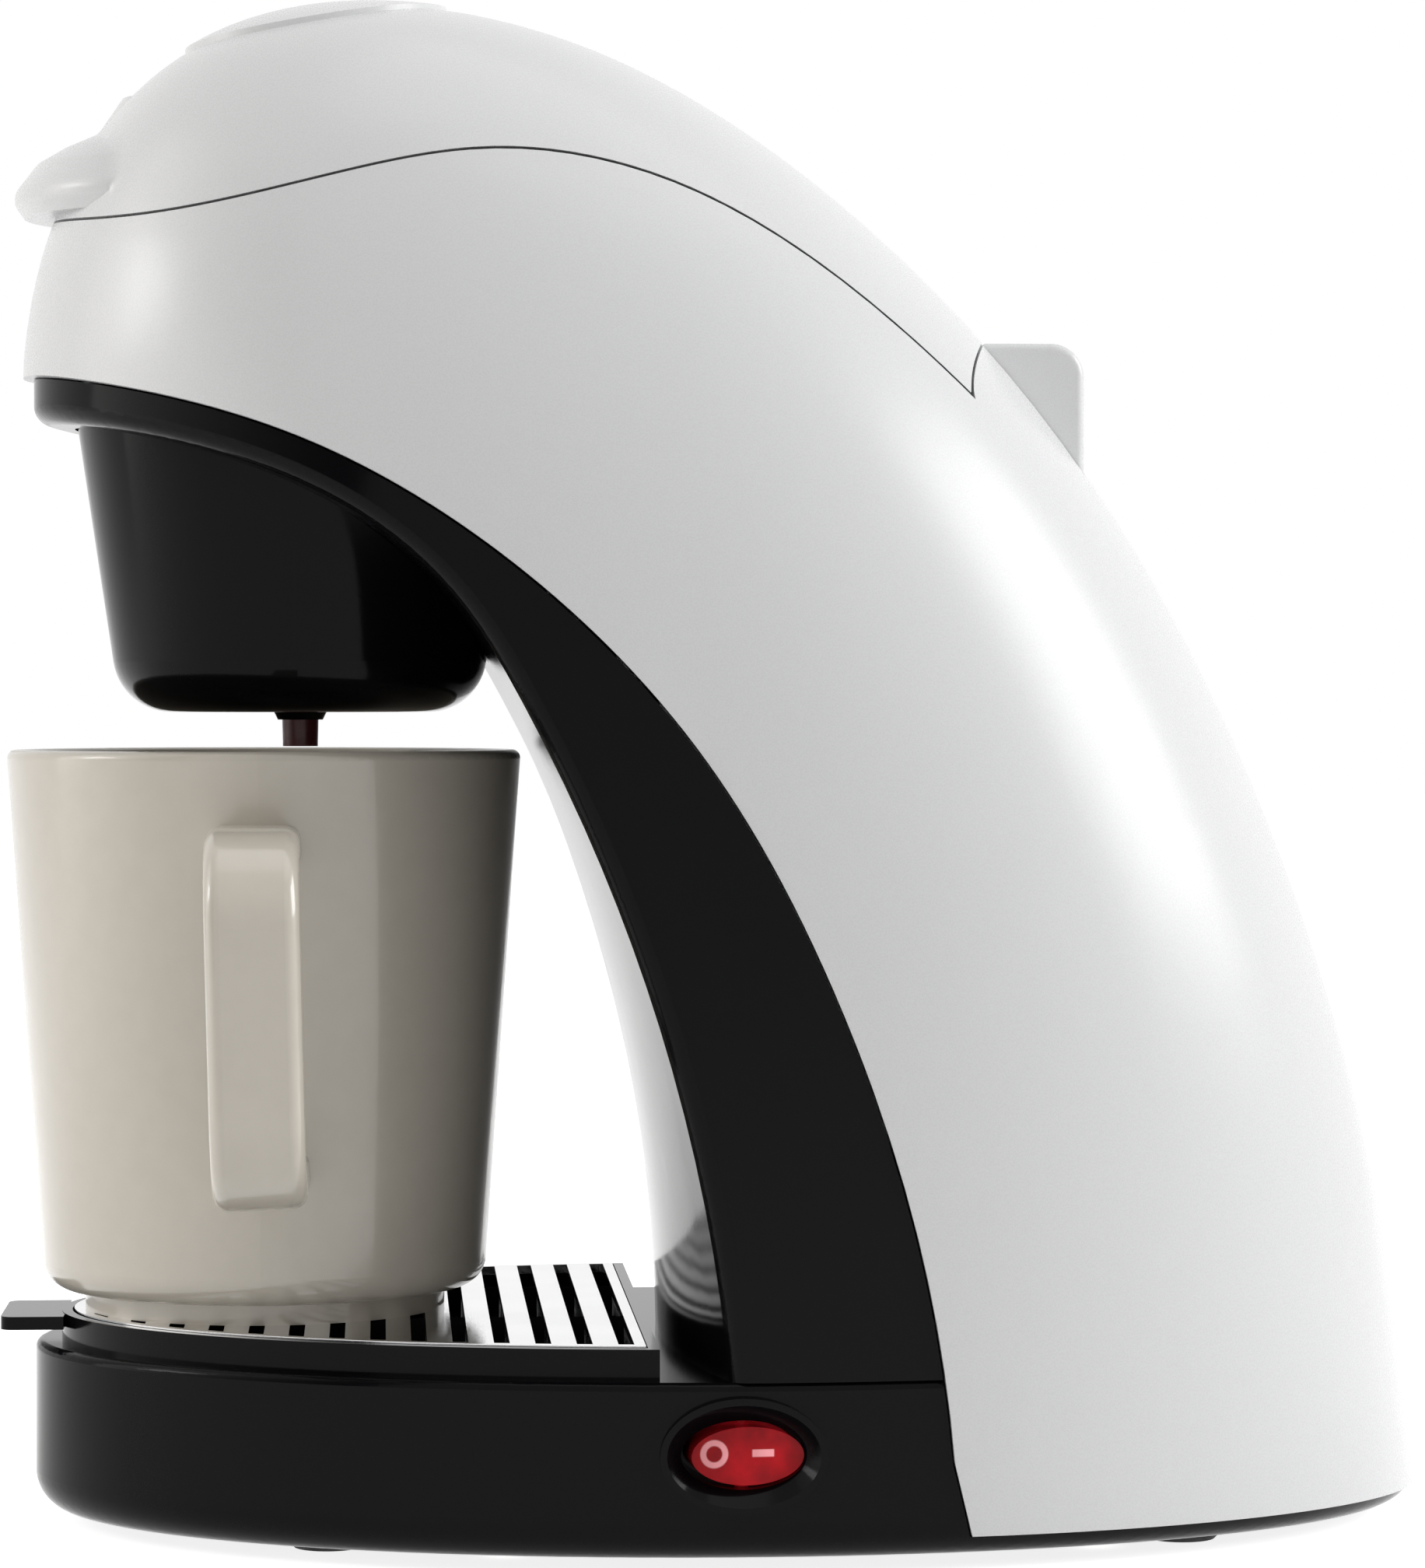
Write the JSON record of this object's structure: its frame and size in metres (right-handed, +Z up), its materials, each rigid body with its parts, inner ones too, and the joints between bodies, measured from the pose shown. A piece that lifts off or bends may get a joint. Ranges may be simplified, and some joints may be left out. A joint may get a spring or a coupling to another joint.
{
  "type": "drip coffee maker",
  "caption": "Single-serve drip coffee maker: black oval base and column, white curved shell with hinged lid, brew bowl with filter, slatted drip tray and a stoneware mug.",
  "frame": {"origin": "on the table, under the centre of the oval base", "axes": "+Z up, -Y towards the front where the mug stands, +X towards the flank with the switch"},
  "size_m": [0.1336, 0.2194, 0.2337],
  "materials": {
    "white_plastic": "polished white ABS",
    "black_plastic": "polished black ABS",
    "dark_plastic": "moulded dark plastic",
    "clear_plastic": "moulded translucent plastic",
    "red_plastic": "translucent red, lit from within",
    "polished_steel": "polished",
    "steel_mesh": "fine woven sieve",
    "plated_steel": "zinc plated",
    "aluminium": "drawn",
    "silicone": "milky silicone",
    "maroon_silicone": "satin",
    "rubber": "matt",
    "glazed_stoneware": "glossy off-white glaze"
  },
  "bodies": {
    "base": {"base_housing": "black_plastic", "boiler_tube": "aluminium", "bottom_cover": "dark_plastic", "bottom_screws": "plated_steel", "brew_funnel": "black_plastic", "check_valve": "silicone", "cord_gland": "black_plastic", "drip_nozzle": "maroon_silicone", "front_frame": "black_plastic", "heater_screws": "plated_steel", "heater_strap": "plated_steel", "heating_element": "aluminium", "hinge_block": "white_plastic", "hinge_pin": "polished_steel", "hose_clamps": "plated_steel", "inlet_hose": "silicone", "outer_shell": "white_plastic", "outlet_hose": "silicone", "riser_spout": "dark_plastic", "riser_tube": "aluminium", "rubber_feet": "rubber", "switch_bezel": "black_plastic", "switch_body": "dark_plastic", "thermal_fuse": "plated_steel", "thermostat": "plated_steel", "top_deck": "dark_plastic", "water_tank": "clear_plastic"},
    "lid": {"lid_cover": "white_plastic", "lid_liner": "white_plastic", "shower_head": "dark_plastic"},
    "rocker": {"switch_rocker": "red_plastic"},
    "tray": {"drip_tray": "black_plastic", "drip_grate": "polished_steel"},
    "mug": {"mug": "glazed_stoneware"},
    "filter": {"filter_frame": "black_plastic", "filter_mesh": "steel_mesh"}
  },
  "joints": [
    {"name": "lid_hinge", "type": "hinge", "parent": "base", "child": "lid", "pos_m": [0, 0.047, 0.1715], "axis": [-1, 0, 0], "range_deg": [0, 95]},
    {"name": "filter_lift", "type": "slide", "parent": "base", "child": "filter", "axis": [0, 0, 1], "range_m": [0, 0.0045]},
    {"name": "tray_slide", "type": "slide", "parent": "base", "child": "tray", "axis": [0, -1, 0], "range_m": [0, 0.1]},
    {"name": "mug_slide", "type": "slide", "parent": "tray", "child": "mug", "axis": [0, -1, 0], "range_m": [0, 0.12]},
    {"name": "rocker_tilt", "type": "hinge", "parent": "base", "child": "rocker", "pos_m": [0.057, -0.0022, 0.0176], "axis": [0, 0, -1], "range_deg": [0, 12]}
  ]
}
